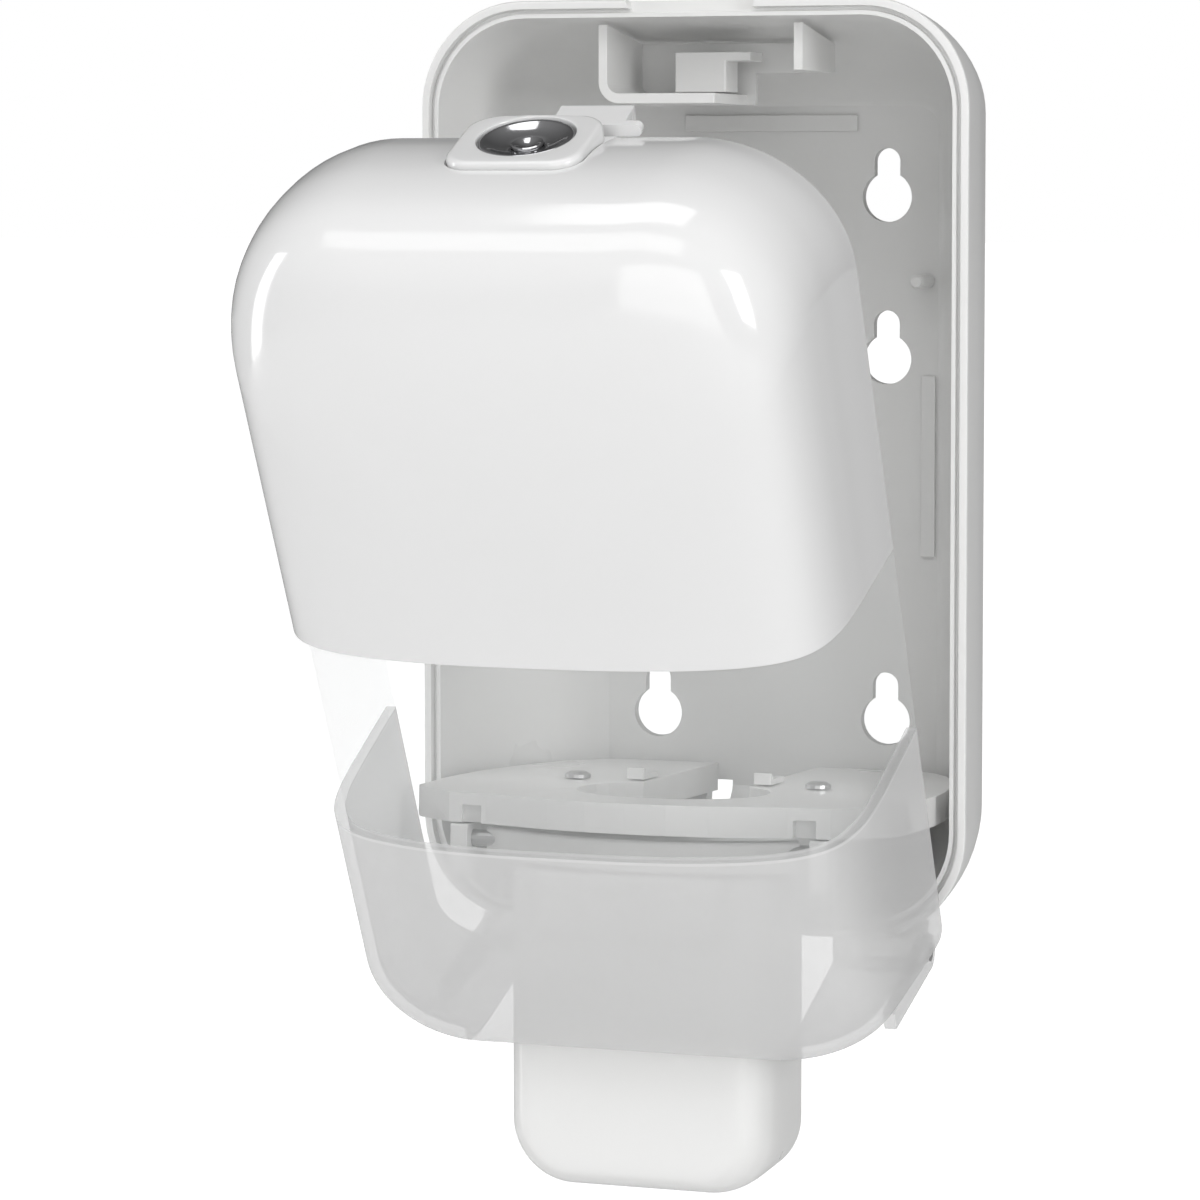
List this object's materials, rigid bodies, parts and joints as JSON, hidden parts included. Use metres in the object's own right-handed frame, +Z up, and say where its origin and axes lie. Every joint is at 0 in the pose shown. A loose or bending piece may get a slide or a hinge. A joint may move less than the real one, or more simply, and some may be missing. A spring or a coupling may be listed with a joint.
{
  "type": "wall mounted soap dispenser",
  "caption": "Wall-hung liquid soap dispenser: deep rear housing, bottle carrier, push lever, tilting two-tone cover with press lock.",
  "frame": {"origin": "middle of the housing's back face, on the wall", "axes": "+Z up, +Y into the wall, -Y towards the user, +X to the viewer's right"},
  "size_m": [0.112, 0.1887, 0.229],
  "materials": {
    "white_plastic": "fine satin moulding",
    "gloss_white_plastic": "high gloss",
    "clear_plastic": "clear band above, frosted below",
    "chrome": "polished",
    "steel": "bright zinc"
  },
  "bodies": {
    "housing": {"bottle_carrier": "white_plastic", "carrier_screw_left": "steel", "carrier_screw_right": "steel", "hinge_bracket_left": "white_plastic", "hinge_bracket_right": "white_plastic", "hinge_pin_left": "steel", "hinge_pin_right": "steel", "label_plate": "white_plastic", "latch_bracket": "white_plastic", "latch_keeper": "white_plastic", "neck_clip_left": "white_plastic", "neck_clip_right": "white_plastic", "pivot_lug_left": "white_plastic", "pivot_lug_right": "white_plastic", "rear_housing": "white_plastic", "side_strip_left": "white_plastic", "side_strip_right": "white_plastic", "wall_peg_left": "white_plastic", "wall_peg_right": "white_plastic"},
    "cover": {"cover_upper_shell": "gloss_white_plastic", "cover_lower_shell": "clear_plastic", "hinge_arm_left": "clear_plastic", "hinge_arm_right": "clear_plastic", "lock_bezel": "gloss_white_plastic", "lock_barrel": "gloss_white_plastic", "latch_tab": "gloss_white_plastic"},
    "lever": {"push_lever": "white_plastic", "lever_yoke": "white_plastic", "lever_insert": "white_plastic", "lever_pin_left": "steel", "lever_pin_right": "steel"},
    "lock_button": {"lock_disc": "chrome"},
    "lock_core": {"lock_key_core": "chrome"},
    "latch": {"latch_hook": "gloss_white_plastic"}
  },
  "joints": [
    {"name": "cover_hinge", "type": "hinge", "parent": "housing", "child": "cover", "pos_m": [0, -0.052, -0.096], "axis": [1, 0, 0], "range_deg": [-28.2, 0]},
    {"name": "lever_push", "type": "hinge", "parent": "housing", "child": "lever", "pos_m": [0, -0.095, -0.0702], "axis": [1, 0, 0], "range_deg": [0, 12]},
    {"name": "lock_press", "type": "slide", "parent": "cover", "child": "lock_button", "axis": [0, 0.3939, -0.9191], "range_m": [0, 0.002], "stiffness_N_per_m": 120, "springref_m": -0.001},
    {"name": "key_turn", "type": "hinge", "parent": "lock_button", "child": "lock_core", "pos_m": [0, -0.1627, 0.06432], "axis": [0, 0.3939, -0.9191], "range_deg": [0, 90]},
    {"name": "latch_rock", "type": "hinge", "parent": "cover", "child": "latch", "pos_m": [0, -0.1525, 0.05334], "axis": [1, 0, 0], "range_deg": [0, 2.6]}
  ],
  "couplings": [
    {"joint": "latch_rock", "follows": "lock_press", "rad_per_m": 22.6}
  ]
}
